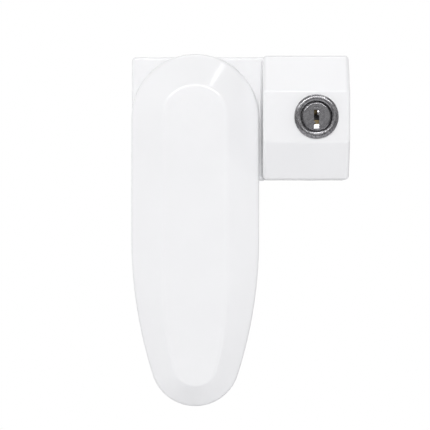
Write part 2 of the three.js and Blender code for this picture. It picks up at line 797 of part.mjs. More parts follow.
function lockingSlide() {
  const { nose, neck, end, noseHalf, bodyHalf } = SLIDE;
  const chamfer = 1;
  const outline = new THREE.Shape([
    new THREE.Vector2(nose + chamfer, -noseHalf),
    new THREE.Vector2(neck, -noseHalf),
    new THREE.Vector2(neck, -bodyHalf),
    new THREE.Vector2(end, -bodyHalf),
    new THREE.Vector2(end, bodyHalf),
    new THREE.Vector2(neck, bodyHalf),
    new THREE.Vector2(neck, noseHalf),
    new THREE.Vector2(nose + chamfer, noseHalf),
    new THREE.Vector2(nose, noseHalf - chamfer),
    new THREE.Vector2(nose, chamfer - noseHalf),
  ]);
  const pinX = LOCK_X + CAM.pinReach * Math.SQRT1_2;
  const { half, bottom, top } = PIN_SLOT;
  const pinSlot = block([pinX - half, pinX + half], [bottom, top], [0, FAR]);
  return cut(pressed(outline, DISC.rear, DISC.front), pinSlot);
}

function slideGuide() {
  const { left, right, rear, floor, lipEnd, lipThick, lipInner, halfHeight } = GUIDE;
  const { headHole, shankHole } = GUIDE_SCREW;
  const lipDepths = [floor - PAST / 2, DISC.front];
  return cut(
    join(
      block([left, right], [-halfHeight, halfHeight], [rear, floor]),
      block([left, lipEnd], [lipInner, lipInner + lipThick], lipDepths),
      block([left, lipEnd], [-lipInner - lipThick, -lipInner], lipDepths),
    ),
    ...COLUMNS.map((at) => countersink(headHole, shankHole, rear, floor + PAST, at)),
  );
}

place(latch, "locking_slide", lockingSlide(), "blackSteel");
place(latch, "slide_guide", slideGuide(), "zincPlate");
COLUMNS.forEach((at, i) => {
  const { head, shank, end } = GUIDE_SCREW;
  const screw = countersunk(head, shank, GUIDE.rear + FIT, end, at);
  place(latch, `guide_screw_${i + 1}`, screw, "zincPlate");
});

export default latch;
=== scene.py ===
# Keyed swing latch for casement sashes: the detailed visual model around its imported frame.
import math

import bmesh
import bpy
from mathutils import Matrix, Vector


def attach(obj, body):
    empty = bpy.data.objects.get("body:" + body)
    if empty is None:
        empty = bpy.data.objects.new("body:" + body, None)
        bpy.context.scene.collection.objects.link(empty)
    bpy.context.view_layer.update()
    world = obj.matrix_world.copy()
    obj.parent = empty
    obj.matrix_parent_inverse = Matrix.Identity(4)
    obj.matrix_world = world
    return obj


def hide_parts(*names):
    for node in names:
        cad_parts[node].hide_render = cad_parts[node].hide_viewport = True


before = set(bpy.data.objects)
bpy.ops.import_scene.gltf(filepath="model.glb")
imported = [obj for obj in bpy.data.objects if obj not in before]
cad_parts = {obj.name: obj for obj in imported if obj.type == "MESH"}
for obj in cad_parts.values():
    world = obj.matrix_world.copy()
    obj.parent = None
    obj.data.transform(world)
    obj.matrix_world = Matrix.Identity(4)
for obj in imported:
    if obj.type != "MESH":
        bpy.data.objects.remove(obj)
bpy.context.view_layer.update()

# Lengths are millimetres until place() turns them into metres. A point is (x, up, depth): right,
# up the sash, and out from the sash towards the viewer.
MM = 0.001

# ---------------------------------------------------------------- dimensions
# Bodies keep the CAD's sizes. The fillet, thread, pad grooves and index dot are only here.

CASE = {
    "half_length": 48.5,
    "half_height": 27.75,
    "wall": 2.7,
    "corner": 2.0,
    "edge": 1.5,
    "top": 15.0,
    "floor": 12.0,
}
BOX = {"left": 10.1, "half_height": 27.6, "wall_top": 27.0, "top": 38.0, "flat_half": 11.3, "edge": 2.0}
# The fillet keeps its radius up to the first station and thins towards the last
FILLET = {"radius": 1.1, "buried": 0.6, "taper": 0.6, "stations": (25.4, 26.25, 26.6, 26.9)}
COLUMN = {"radius": 3.2, "rear": 4.7, "front": 32.0, "pilot": 1.45, "pilot_rear": 4.0, "pilot_front": 13.0}
BUSH_BOSS = {"radius": 11.0, "rear": 9.6, "bore": 8.15}
STOP_BOSS = {"radius": 3.5, "rear": 9.2, "hole": 1.6, "hole_front": 13.3, "offset": 13.5}
CYLINDER_HOLE = {"radius": 8.6, "flat": 7.85, "rear": 30.0}
HOOK_POCKET = {"half": 6.4, "top": 26.5, "rear": 6.6, "front": 9.4}
PIVOT_X = -19.9
OUTLINE = {"half_width": 28.5, "flank_start": -53.5, "flank_radius": 200.0, "bottom": -128.5}
FIELD = {"half_width": 14.4, "flank_start": -72.0, "flank_radius": 160.0, "bottom": -118.7}
ARM = {"rear": 16.0, "seat": 19.9, "shoulder": 25.0, "top": 33.0, "wall": 2.5, "rim": 1.5}
PLATE = {"rear": 16.6, "front": 19.6, "gap": 0.3, "edge": 0.3, "square_half": 5.55, "stud_hole": 2.15}
ARM_SCREWS = [(-13, -40), (13, -40), (0, -84)]
ARM_SCREW = {"head": 3.1, "shank": 1.5, "end": 28.0, "head_hole": 3.3, "shank_hole": 1.7, "boss": 4.0}
PAD = {"centre": -103.5, "half_width": 11.0, "half_height": 13.5, "corner": 5.0, "rear": 12.6}
PAD_STUDS = [(0, -97), (0, -110)]
PAD_GROOVES = {"count": 5, "pitch": 4.0, "half_width": 0.5, "depth": 0.6}
SPINDLE = {
    "collar": 10.0,
    "collar_rear": 19.7,
    "collar_front": 22.2,
    "plate_square": 5.4,
    "shaft": 6.0,
    "shaft_rear": 8.6,
    "end_square": 3.95,
    "end_rear": 4.7,
    "chamfer": 0.3,
}
SPINDLE_THREAD = {"radius": 3.9, "depth": 0.55, "pitch": 1.25, "rear": 0.5, "front": 5.0}
NUT = {"half_flats": 6.5, "rear": 0.7, "front": 3.8, "chamfer": 0.6, "bore": 4.05}
LOCK_X = 33.5
HOUSING = {"body": 8.5, "flat": 7.75, "rosette": 9.75, "rear": 14.0, "face": 40.3, "bore": 6.0}
WAFER_GROOVE = {"half": 3.0, "reach": 6.4, "rear": 14.8, "front": 36.4}
INDEX_DOT = {"x": 0.57, "up": 8.1, "radius": 0.33, "depth": 0.35}
PLUG = {"body": 5.9, "head": 6.35, "rear": 13.9, "shoulder": 37.5, "face": 39.8}
TANG = {"radius": 3.2, "rear": 11.3, "half": 1.8, "pilot": 1.2, "pilot_end": 15.5}
KEYWAY = {"half": 1.1, "bottom": -5.3, "top": 3.0, "end": 16.0, "mouth": 0.12, "corner": 0.06}
WAFER_DEPTHS = [34, 30.5, 27, 23.5, 20]
WAFER_SLOT = {"half_depth": 0.65, "half_width": 2.8, "lug": (2.2, 5.3), "lug_up": (-2.5, -0.2)}
SPRING_POCKET = {"across": (3.05, 4.95), "up": (-0.4, 2.7), "half_depth": 0.95}
BACKPLATE = {
    "half_length": 45.3,
    "half_height": 24.6,
    "corner": 3.0,
    "thick": 2.5,
    "edge": 0.25,
    "tab_x": 32.0,
    "tab_half": 6.0,
    "tab_front": 11.0,
    "opening": 9.5,
}
HOOK = {"rear": 7.0, "front": 9.0, "reach": 26.2}
FIXINGS = [(-40.5, 18), (-40.5, -18), (3, 19), (3, -19), (41, 19), (41, -19)]
FIXING_HOLE = {"shank": 2.2, "head": 3.6}
COLUMNS = [(16.5, 16.5), (16.5, -16.5), (42, 16.5), (42, -16.5)]
CASE_SCREW = {
    "depth": 7.0,
    "head": 3.7,
    "shank": 1.9,
    "rear": 0.3,
    "end": 7.5,
    "head_hole": 4.0,
    "shank_hole": 2.2,
    "tab_hole": 2.1,
}
# Where the case screws sit: each one's x and the lower edge it is driven in from
CASE_SCREWS = [(-BACKPLATE["tab_x"], -CASE["half_height"]), (BACKPLATE["tab_x"], -BOX["half_height"])]

# ---------------------------------------------------------------- outlines


def arc(centre, radius, start, end, steps):
    """Points of an arc, both ends included."""
    angles = [start + (end - start) * i / steps for i in range(steps + 1)]
    return [(centre[0] + radius * math.cos(a), centre[1] + radius * math.sin(a)) for a in angles]


def circle(radius, centre=(0, 0), steps=96):
    return arc(centre, radius, 0, 2 * math.pi, steps)[:-1]


def rectangle(half_x, half_y):
    return [(half_x, -half_y), (half_x, half_y), (-half_x, half_y), (-half_x, -half_y)]


def shifted(outline, x=0.0, y=0.0):
    return [(px + x, py + y) for px, py in outline]


def moved_in(outline, distance):
    """An anticlockwise outline with each side moved inwards by the same distance."""
    points = [Vector(p) for p in outline]
    lines = []
    for point, after in zip(points, points[1:] + points[:1]):
        along = (after - point).normalized()
        lines.append((point + Vector((-along.y, along.x)) * distance, along))
    result = []
    for (start, along), (other, before) in zip(lines, lines[-1:] + lines[:-1]):
        gap = other - start
        reach = (gap.x * before.y - gap.y * before.x) / (along.x * before.y - along.y * before.x)
        result.append(tuple(start + along * reach))
    return result


def rounded(outline, radius, steps=8):
    """An outline with every corner rounded off."""
    points = [Vector(p) for p in outline]
    result = []
    for before, corner, after in zip(points[-1:] + points[:-1], points, points[1:] + points[:1]):
        u, v = (before - corner).normalized(), (after - corner).normalized()
        half = math.acos(max(-1.0, min(1.0, u.dot(v)))) / 2
        reach = radius / math.tan(half)
        centre = corner + (u + v).normalized() * (radius / math.sin(half))
        start = corner + u * reach - centre
        turn = math.pi - 2 * half
        sign = -1 if u.x * v.y - u.y * v.x > 0 else 1
        for i in range(steps + 1):
            c, s = math.cos(sign * turn * i / steps), math.sin(sign * turn * i / steps)
            result.append((centre.x + start.x * c - start.y * s, centre.y + start.x * s + start.y * c))
    return result


def paddle(shape, inset=0.0, steps=(72, 20, 48)):
    """The arm's outline: round head, straight sides, slightly curved flanks, tangent round tip."""
    half = shape["half_width"] - inset
    flank = shape["flank_radius"] - inset
    low = shape["bottom"] + inset
    drop = shape["flank_start"] - low
    tip = (flank**2 - (flank - half) ** 2 - drop**2) / (2 * (flank - drop))
    lean = math.atan2(shape["flank_start"] - low - tip, flank - half)
    head, side, end = steps
    return [
        *arc((0, 0), half, 0, math.pi, head),
        *arc((flank - half, shape["flank_start"]), flank, math.pi, math.pi + lean, side),
        *arc((0, low + tip), tip, math.pi + lean, 2 * math.pi - lean, end)[1:],
        *arc((half - flank, shape["flank_start"]), flank, 2 * math.pi - lean, 2 * math.pi, side)[1:],
    ]


# ---------------------------------------------------------------- solids


def place(x, up, depth):
    """A point's place in Blender, in metres."""
    return Vector((x, -depth, up)) * MM


def solid_from(bm):
    bmesh.ops.recalc_face_normals(bm, faces=bm.faces)
    mesh = bpy.data.meshes.new("solid")
    bm.to_mesh(mesh)
    bm.free()
    obj = bpy.data.objects.new("solid", mesh)
    bpy.context.scene.collection.objects.link(obj)
    return obj


def loft(rings, closed=False):
    """A solid through rings of points. A closed one joins its last ring to its first."""
    bm = bmesh.new()
    rows = [[bm.verts.new(place(*point)) for point in ring] for ring in rings]
    pairs = list(zip(rows, rows[1:]))
    if closed:
        pairs.append((rows[-1], rows[0]))
    else:
        bm.faces.new(rows[0])
        bm.faces.new(rows[-1])
    for low, high in pairs:
        for i, j in zip(range(len(low)), [*range(1, len(low)), 0]):
            bm.faces.new((low[i], low[j], high[j], high[i]))
    return solid_from(bm)


def flat(outline, depth):
    """An outline laid flat at one depth."""
    return [(x, up, depth) for x, up in outline]


def pressed(outline, rear, front):
    """A solid with the same outline from its rear to its front."""
    return loft([flat(outline, rear), flat(outline, front)])


def quarter(radius, steps=6):
    """(inset, distance below the top) along a rounded edge, from the side to the top."""
    angles = [math.pi / 2 * i / steps for i in range(steps + 1)]
    return [(radius * (1 - math.cos(a)), radius * (1 - math.sin(a))) for a in angles]


def slab(outline, radius, rear, front, rear_edge=0.0, front_edge=0.0):
    """A flat piece with rounded corners and rounded rear and front edges."""

    def ring(inset, depth):
        return flat(rounded(moved_in(outline, inset), max(radius - inset, 0.05)), depth)

    rings = [ring(inset, rear + drop) for inset, drop in reversed(quarter(max(rear_edge, 0.01)))]
    rings += [ring(inset, front - drop) for inset, drop in quarter(max(front_edge, 0.01))]
    return loft(rings)


def turned(profile, centre=(0, 0), steps=96, closed=False):
    """(radius, depth) points turned about the depth axis."""
    return loft([flat(circle(r, centre, steps), depth) for r, depth in profile], closed)


def rod(radius, rear, front, centre=(0, 0), steps=64):
    return turned([(radius, rear), (radius, front)], centre, steps)


def block(x, up, depth):
    """A box between a pair of limits in each direction."""
    outline = [(x[1], up[0]), (x[1], up[1]), (x[0], up[1]), (x[0], up[0])]
    return pressed(outline, *depth)


def combined(base, tools, operation):
    """The base with every tool joined to it, cut from it or intersected with it."""
    for tool in tools:
        step = base.modifiers.new("step", "BOOLEAN")
        step.operation = operation
        step.solver = "EXACT"
        step.object = tool
    graph = bpy.context.evaluated_depsgraph_get()
    mesh = bpy.data.meshes.new_from_object(base.evaluated_get(graph))
    base.modifiers.clear()
    base.data = mesh
    for tool in tools:
        bpy.data.objects.remove(tool)
    return base


def join(base, *tools):
    return combined(base, tools, "UNION")


def cut(base, *tools):
    return combined(base, tools, "DIFFERENCE")


def gathered(base, *others):
    """Separate closed solids kept in one mesh."""
    bm = bmesh.new()
    for obj in (base, *others):
        bm.from_mesh(obj.data)
    for obj in others:
        bpy.data.objects.remove(obj)
    bm.to_mesh(base.data)
    bm.free()
    return base


def upright(obj, x, edge):
    """Turns a piece drawn along the depth so that it points up from the given lower edge."""
    turn = Matrix.Rotation(-math.pi / 2, 4, "X")
    obj.data.transform(Matrix.Translation(place(x, edge, CASE_SCREW["depth"])) @ turn)
    return obj


# ---------------------------------------------------------------- materials


def map_range(tree, value, source, target):
    """A value of a node tree, taken from one range to another and held inside it."""
    node = tree.nodes.new("ShaderNodeMapRange")
    for socket, number in zip(("From Min", "From Max", "To Min", "To Max"), (*source, *target)):
        node.inputs[socket].default_value = number
    tree.links.new(value, node.inputs["Value"])
    return node.outputs["Result"]


class Finish:
    """A node material: a Principled shader with procedural patterns in object space."""

    USUAL_NOISE = (0.3, 0.7)  # where nearly all of a noise texture's values lie

    def __init__(self, name, **constants):
        self.material = bpy.data.materials.new(name)
        self.material.use_nodes = True
        self.nodes = self.material.node_tree.nodes
        self.links = self.material.node_tree.links
        self.shader = self.nodes["Principled BSDF"]
        for socket, value in constants.items():
            self.shader.inputs[socket.replace("_", " ")].default_value = value
        self.place = self.add("TexCoord").outputs["Object"]
        self.last_normal = None

    def add(self, kind, **settings):
        node = self.nodes.new("ShaderNode" + kind)
        for key, value in settings.items():
            setattr(node, key, value)
        return node

    def mapped(self, scale=(1, 1, 1), location=(0, 0, 0), rotation=(0, 0, 0)):
        node = self.add("Mapping", vector_type="TEXTURE")
        node.inputs["Location"].default_value = location
        node.inputs["Rotation"].default_value = rotation
        node.inputs["Scale"].default_value = scale
        self.links.new(self.place, node.inputs["Vector"])
        return node.outputs["Vector"]

    def noise(self, scale, detail=3, roughness=0.5, vector=None):
        node = self.add("TexNoise")
        node.inputs["Scale"].default_value = scale
        node.inputs["Detail"].default_value = detail
        node.inputs["Roughness"].default_value = roughness
        self.links.new(vector or self.place, node.inputs["Vector"])
        return node.outputs["Fac"]

    def colours(self, value, *stops):
        node = self.add("ValToRGB")
        ramp = node.color_ramp
        while len(ramp.elements) < len(stops):
            ramp.elements.new(0.5)
        for element, (position, colour) in zip(ramp.elements, stops):
            element.position = position
            element.color = (*colour, 1)
        self.links.new(value, node.inputs["Fac"])
        self.links.new(node.outputs["Color"], self.shader.inputs["Base Color"])

    def roughness(self, noise, low, high):
        level = map_range(self.material.node_tree, noise, self.USUAL_NOISE, (low, high))
        self.links.new(level, self.shader.inputs["Roughness"])

    def bump(self, value, depth):
        """Height detail; depth is in millimetres."""
        node = self.add("Bump")
        node.inputs["Distance"].default_value = depth * MM
        self.links.new(value, node.inputs["Height"])
        if self.last_normal:
            self.links.new(self.last_normal, node.inputs["Normal"])
        self.last_normal = node.outputs["Normal"]
        self.links.new(self.last_normal, self.shader.inputs["Normal"])


def grey(level, tint):
    return tuple(level + t for t in tint)


def powder_coat(name, level):
    """Satin white paint, baked on, with a fine orange peel."""
    finish = Finish(name, IOR=1.48, Coat_Weight=0.7, Coat_Roughness=0.1)
    cloud = finish.noise(45, 4)
    cool = (0, 0.001, 0.014)
    finish.colours(cloud, (0.3, grey(level - 0.008, cool)), (0.7, grey(level + 0.008, cool)))
    finish.roughness(finish.noise(160, 4), 0.33, 0.42)
    finish.bump(finish.noise(520, 2, 0.4), 0.012)
    finish.bump(finish.noise(2600, 2), 0.0015)
    return finish.material


def plated(name, dark, light, roughness, blotch=120, grain=(1, 1, 1), depth=0.004, turn=(0, 0, 0)):
    """Plated or bare metal: cloudy colour and a fine grain that can run in one direction."""
    finish = Finish(name, Metallic=1.0)
    cloud = finish.noise(blotch, 5, 0.6)
    finish.colours(cloud, (0.28, dark), (0.72, light))
    lines = finish.noise(900, 4, 0.65, finish.mapped(grain, rotation=turn))
    finish.roughness(lines, *roughness)
    finish.bump(lines, depth)
    return finish.material


def lathe_finished(name, dark, light, roughness, depth):
    """Turned metal: fine rings about the lock cylinder's axis, over a fine mottle."""
    finish = Finish(name, Metallic=1.0)
    centred = finish.mapped(location=(LOCK_X * MM, 0, 0))
    parts = finish.add("SeparateXYZ")
    finish.links.new(centred, parts.inputs["Vector"])
    across = finish.add("CombineXYZ")
    finish.links.new(parts.outputs["X"], across.inputs["X"])
    finish.links.new(parts.outputs["Z"], across.inputs["Y"])
    radius = finish.add("VectorMath", operation="LENGTH")
    finish.links.new(across.outputs["Vector"], radius.inputs[0])
    ring = finish.add("CombineXYZ")
    finish.links.new(radius.outputs["Value"], ring.inputs["X"])
    finish.links.new(parts.outputs["Y"], ring.inputs["Y"])
    lines = finish.noise(5200, 3, 0.7, ring.outputs["Vector"])
    cloud = finish.noise(1100, 4, 0.6)
    finish.colours(cloud, (0.38, dark), (0.62, light))
    finish.roughness(lines, *roughness)
    finish.bump(lines, depth)
    finish.bump(finish.noise(1500, 4, 0.7), depth * 0.8)
    return finish.material


def moulded(name, dark, light, roughness, grain, depth):
    """Moulded rubber or plastic with a fine texture."""
    finish = Finish(name)
    finish.colours(finish.noise(90, 4), (0.3, dark), (0.7, light))
    finish.roughness(finish.noise(300, 3), *roughness)
    finish.bump(finish.noise(grain, 3, 0.6), depth)
    return finish.material


WHITE = 0.91
MATERIALS = {
    "case_white": powder_coat("case_white", WHITE),
    "arm_white": powder_coat("arm_white", WHITE),
    "zinc_steel": plated("zinc_steel", (0.45, 0.47, 0.50), (0.60, 0.62, 0.64), (0.24, 0.46), 150, (1, 1, 7)),
    "housing_nickel": lathe_finished(
        "housing_nickel", (0.25, 0.245, 0.26), (0.50, 0.495, 0.51), (0.15, 0.32), 0.008
    ),
    "plug_nickel": plated(
        "plug_nickel",
        dark=(0.24, 0.235, 0.25),
        light=(0.44, 0.435, 0.45),
        roughness=(0.15, 0.3),
        blotch=1100,
        grain=(1, 1, 16),
        depth=0.008,
        turn=(0, 0.8, 0),
    ),
    "brass": plated("brass", (0.46, 0.35, 0.18), (0.62, 0.49, 0.27), (0.25, 0.45), 220, (1, 1, 5)),
    "bronze": plated("bronze", (0.46, 0.30, 0.15), (0.60, 0.42, 0.24), (0.3, 0.5), 200),
    "spring_steel": plated("spring_steel", (0.36, 0.37, 0.39), (0.50, 0.51, 0.53), (0.22, 0.4), 300),
    "black_steel": plated(
        "black_steel", (0.05, 0.052, 0.056), (0.11, 0.112, 0.118), (0.35, 0.55), 160, (1, 1, 5)
    ),
    "acetal": moulded("acetal", (0.70, 0.69, 0.65), (0.78, 0.77, 0.72), (0.38, 0.5), 1800, 0.003),
    "rubber": moulded("rubber", (0.014, 0.014, 0.015), (0.03, 0.03, 0.031), (0.62, 0.85), 2600, 0.02),
}

# ---------------------------------------------------------------- finished pieces

SHARP = math.radians(34)  # edges that turn by more than this stay crisp
WELD = 1e-7


def piece(obj, name, body, slot, *nodes):
    """Names, shades and paints a solid, and makes it stand for its CAD nodes on its body."""
    bm = bmesh.new()
    bm.from_mesh(obj.data)
    bmesh.ops.remove_doubles(bm, verts=bm.verts, dist=WELD)
    bmesh.ops.dissolve_degenerate(bm, edges=bm.edges, dist=WELD)
    for face in bm.faces:
        face.smooth = True
    for edge in bm.edges:
        edge.smooth = len(edge.link_faces) == 2 and edge.calc_face_angle() < SHARP
    bm.to_mesh(obj.data)
    bm.free()
    obj.name = obj.data.name = name
    obj.data.materials.clear()
    obj.data.materials.append(MATERIALS[slot])
    normals = obj.modifiers.new("normals", "WEIGHTED_NORMAL")
    normals.keep_sharp = True
    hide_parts(*nodes)
    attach(obj, body)
    return obj


# ---------------------------------------------------------------- lock case


def box_profile():
    """The lock box's (up, depth) outline, closed behind the sash face."""
    half, wall_top, flat_half, top = (BOX[key] for key in ("half_height", "wall_top", "flat_half", "top"))
    buried = -10
    upper = [(half, buried), (half, wall_top), (flat_half, top)]
    return upper + [(-up, depth) for up, depth in reversed(upper)]


def lock_box():
    edge = BOX["edge"]
    corner = edge + 0.15  # a little over the edge, so that it is still round at the end faces

    def ring(inset, x):
        outline = rounded(moved_in(box_profile(), inset), corner - inset)
        return [(x, up, depth) for up, depth in outline]

    rings = [ring(inset, BOX["left"] + drop) for inset, drop in reversed(quarter(edge, 8))]
    rings += [ring(inset, CASE["half_length"] - drop) for inset, drop in quarter(edge, 8)]
    return cut(loft(rings), block((0, 60), (-40, 40), (-20, 0)))


def junction_fillet():
    """The cast fillet where the low platform meets the left wall of the lock box."""
    half, edge, top, left = CASE["half_height"], CASE["edge"], CASE["top"], BOX["left"]
    buried = FILLET["buried"]
    flat_end = half - edge
    stations = FILLET["stations"]
    sections = []
    for up in (*(-station for station in reversed(stations)), *stations):
        beyond = max(0, abs(up) - flat_end)
        base = top - edge + math.sqrt(edge**2 - beyond**2)
        radius = FILLET["radius"] - (abs(up) - stations[0]) * FILLET["taper"]
        curve = arc((left - radius, base + radius), radius, -math.pi / 2, 0, 8)
        profile = [(left + buried, base - buried), (left - radius, base - buried)]
        profile += [*curve, (left + buried, base + radius)]
        sections.append([(x, up, depth) for x, depth in profile])
    return loft(sections)


def lock_case():
    half_length, half_height, wall = CASE["half_length"], CASE["half_height"], CASE["wall"]
    right = BOX["left"] + wall - 0.2  # ends inside the box's left wall
    outline = [(right, -half_height), (right, half_height)]
    outline += [(-half_length, half_height), (-half_length, -half_height)]
    platform = slab(outline, CASE["corner"], 0, CASE["top"], 0, CASE["edge"])
    shell = join(lock_box(), platform, junction_fillet())
    inner = half_length - wall
    inner_half = BOX["half_height"] - wall
    inside = moved_in(box_profile(), wall)
    hollow = [[(x, up, depth) for up, depth in inside] for x in (BOX["left"] + wall, inner)]
    low_hollow = block((-inner, inner), (-inner_half, inner_half), (-1, CASE["floor"]))
    shell = cut(shell, loft(hollow), low_hollow)
    stop = (PIVOT_X - STOP_BOSS["offset"], 0)
    boss_front = CASE["floor"] + 1
    bosses = [rod(COLUMN["radius"], COLUMN["rear"], COLUMN["front"], at, 32) for at in COLUMNS]
    bosses.append(rod(BUSH_BOSS["radius"], BUSH_BOSS["rear"], boss_front, (PIVOT_X, 0)))
    bosses.append(rod(STOP_BOSS["radius"], STOP_BOSS["rear"], boss_front, stop, 32))
    shell = join(shell, *bosses)
    holes = [rod(COLUMN["pilot"], COLUMN["pilot_rear"], COLUMN["pilot_front"], at, 24) for at in COLUMNS]
    holes.append(rod(BUSH_BOSS["bore"], 9, 16, (PIVOT_X, 0)))
    holes.append(rod(STOP_BOSS["hole"], 9, STOP_BOSS["hole_front"], stop, 24))
    flat_half = CYLINDER_HOLE["flat"]
    cylinder_hole = [(max(-flat_half, min(flat_half, x)), up) for x, up in circle(CYLINDER_HOLE["radius"])]
    holes.append(pressed(shifted(cylinder_hole, LOCK_X), CYLINDER_HOLE["rear"], 45))
    head, shank, pocket = CASE_SCREW["head_hole"], CASE_SCREW["shank_hole"], HOOK_POCKET["half"]
    for x, edge in CASE_SCREWS:
        sink = turned([(head, -3), (head, 0), (shank, head - shank), (shank, 10)], steps=48)
        holes.append(upright(sink, x, edge))
        across, depth = (-x - pocket, -x + pocket), (HOOK_POCKET["rear"], HOOK_POCKET["front"])
        holes.append(block(across, (inner_half - 1, HOOK_POCKET["top"]), depth))
    return cut(shell, *holes)


piece(lock_case(), "case_shell", "case", "case_white", "lock_case")

# ---------------------------------------------------------------- mounting plate and case screws


def mounting_plate():
    half_height, thick, tab = BACKPLATE["half_height"], BACKPLATE["thick"], BACKPLATE["tab_x"]
    edge, opening = BACKPLATE["edge"], BACKPLATE["opening"]
    outline = rectangle(BACKPLATE["half_length"], half_height)
    sheet = slab(outline, BACKPLATE["corner"], 0, thick, edge, edge)
    hooks = []
    for x in (tab, -tab):
        across = (x - BACKPLATE["tab_half"], x + BACKPLATE["tab_half"])
        hooks.append(block(across, (half_height - 2, half_height), (thick - 0.5, HOOK["front"])))
        hooks.append(block(across, (half_height - 1, HOOK["reach"]), (HOOK["rear"], HOOK["front"])))
        hooks.append(block(across, (-half_height, 2 - half_height), (thick - 0.5, BACKPLATE["tab_front"])))
    shank, head = FIXING_HOLE["shank"], FIXING_HOLE["head"]
    sink = [(shank, -1), (shank, 0.5), (head, thick), (head, thick + 1)]
    holes = [turned(sink, at, 48) for at in FIXINGS]
    holes += [upright(rod(CASE_SCREW["tab_hole"], 0, 12, steps=32), x, -30) for x in (tab, -tab)]
    mouth = opening + 0.3
    holes.append(turned([(mouth, -1), (mouth, 0), (opening, 0.3), (opening, thick + 1)], (PIVOT_X, 0)))
    return cut(join(sheet, *hooks), *holes)


def countersunk(head, shank, rear, end, centre=(0, 0)):
    """A countersunk screw, head first at the rear, with a cross recess."""
    cone = head - shank
    lip = 0.25
    profile = [(head - 0.12, rear), (head, rear + 0.12), (head, rear + lip), (shank, rear + cone)]
    profile += [(shank, end - shank), (shank * 0.35, end)]
    body = turned(profile, centre, 48)
    reach, width, depth = head * 0.62, head * 0.15, head * 0.62
    tools = []
    for across in (True, False):
        half_x, half_y = (reach, width) if across else (width, reach)
        mouth, floor = rectangle(half_x, half_y), rectangle(half_x * 0.45, half_y * 0.55)
        rings = [flat(shifted(mouth, *centre), rear - 0.1), flat(shifted(floor, *centre), rear + depth)]
        tools.append(loft(rings))
    return cut(body, *tools)


piece(mounting_plate(), "backplate", "case", "zinc_steel", "mounting_plate")
for number, (x, edge) in enumerate(CASE_SCREWS, 1):
    screw = countersunk(CASE_SCREW["head"], CASE_SCREW["shank"], CASE_SCREW["rear"], CASE_SCREW["end"])
    screw = upright(screw, x, edge)
    piece(screw, f"case_fastener_{number}", "case", "zinc_steel", f"case_screw_{number}")

# ---------------------------------------------------------------- arm


def mixed(first, second, share):
    return [a + (b - a) * share for a, b in zip(first, second)]


def bent(first, control, last, steps):
    """Rings along a soft bend from the first ring to the last."""
    rings = []
    for i in range(steps + 1):
        t = i / steps
        trio = zip(first, control, last)
        rings.append([tuple(mixed(mixed(a, c, t), mixed(c, b, t), t)) for a, c, b in trio])
    return rings


def arm_cover():
    rear, seat, shoulder, top = (ARM[key] for key in ("rear", "seat", "shoulder", "top"))
    wall, rim = ARM["wall"], ARM["rim"]

    def ring(shape, inset, depth):
        return flat(shifted(paddle(shape, inset), PIVOT_X), depth)

    edge = ring(OUTLINE, 0.4, shoulder)
    brow = ring(FIELD, 0, top)

    def slope(share):
        return [tuple(mixed(a, b, share)) for a, b in zip(edge, brow)]

    rings = [
        ring(FIELD, wall / 3, top - wall),
        ring(OUTLINE, wall, shoulder - wall / 2),
        ring(OUTLINE, wall, seat),
        ring(OUTLINE, rim, seat),
        ring(OUTLINE, rim, rear + 0.2),
        ring(OUTLINE, rim - 0.2, rear),
    ]
    rings += [ring(OUTLINE, inset, rear + drop) for inset, drop in reversed(quarter(0.5, 5))]
    rings += bent(ring(OUTLINE, 0, shoulder - 1.4), ring(OUTLINE, 0, shoulder - 0.25), slope(0.07), 8)
    rings += [slope(share) for share in (0.25, 0.5, 0.75)]
    rings += bent(slope(0.93), brow, ring(FIELD, 1.0, top), 10)
    shell = loft(rings)
    places = shifted(ARM_SCREWS, PIVOT_X)
    bosses = [rod(ARM_SCREW["boss"], seat, top - wall + 1, at, 32) for at in places]
    pilots = [rod(ARM_SCREW["shank_hole"], seat - 1, top - wall - 1, at, 24) for at in places]
    return cut(join(shell, *bosses), *pilots)


def arm_plate():
    inset, edge, rear, front = ARM["rim"] + PLATE["gap"], PLATE["edge"], PLATE["rear"], PLATE["front"]
    steps = (48, 12, 32)
    outline = shifted(paddle(OUTLINE, inset, steps), PIVOT_X)
    inner = shifted(paddle(OUTLINE, inset + edge, steps), PIVOT_X)
    rings = [flat(inner, rear), flat(outline, rear + edge), flat(outline, front)]
    square = rectangle(PLATE["square_half"], PLATE["square_half"])
    tools = [pressed(shifted(square, PIVOT_X), 0, 30)]
    head, shank = ARM_SCREW["head_hole"], ARM_SCREW["shank_hole"]
    sink = [(head, 10), (head, rear), (shank, rear + head - shank), (shank, 25)]
    tools += [turned(sink, at, 48) for at in shifted(ARM_SCREWS, PIVOT_X)]
    tools += [rod(PLATE["stud_hole"], 0, 30, at, 32) for at in shifted(PAD_STUDS, PIVOT_X)]
    return cut(loft(rings), *tools)


def buffer_pad():
    rear = PAD["rear"]
    outline = shifted(rectangle(PAD["half_width"], PAD["half_height"]), PIVOT_X, PAD["centre"])
    pad = slab(outline, PAD["corner"], rear, PLATE["rear"] - 0.15, 1.2, 0.2)
    count, pitch, half = PAD_GROOVES["count"], PAD_GROOVES["pitch"], PAD_GROOVES["half_width"]
    grooves = []
    for i in range(count):
        up = PAD["centre"] + pitch * (i - (count - 1) / 2)
        section = [(up - half, rear - 1), (up + half, rear - 1), (up, rear + PAD_GROOVES["depth"])]
        grooves.append(loft([[(x, u, d) for u, d in section] for x in (PIVOT_X - 20, PIVOT_X + 20)]))
    pad = cut(pad, *grooves)
    studs = [rod(2, rear + 2, PLATE["front"], at, 32) for at in shifted(PAD_STUDS, PIVOT_X)]
    return join(pad, *studs)


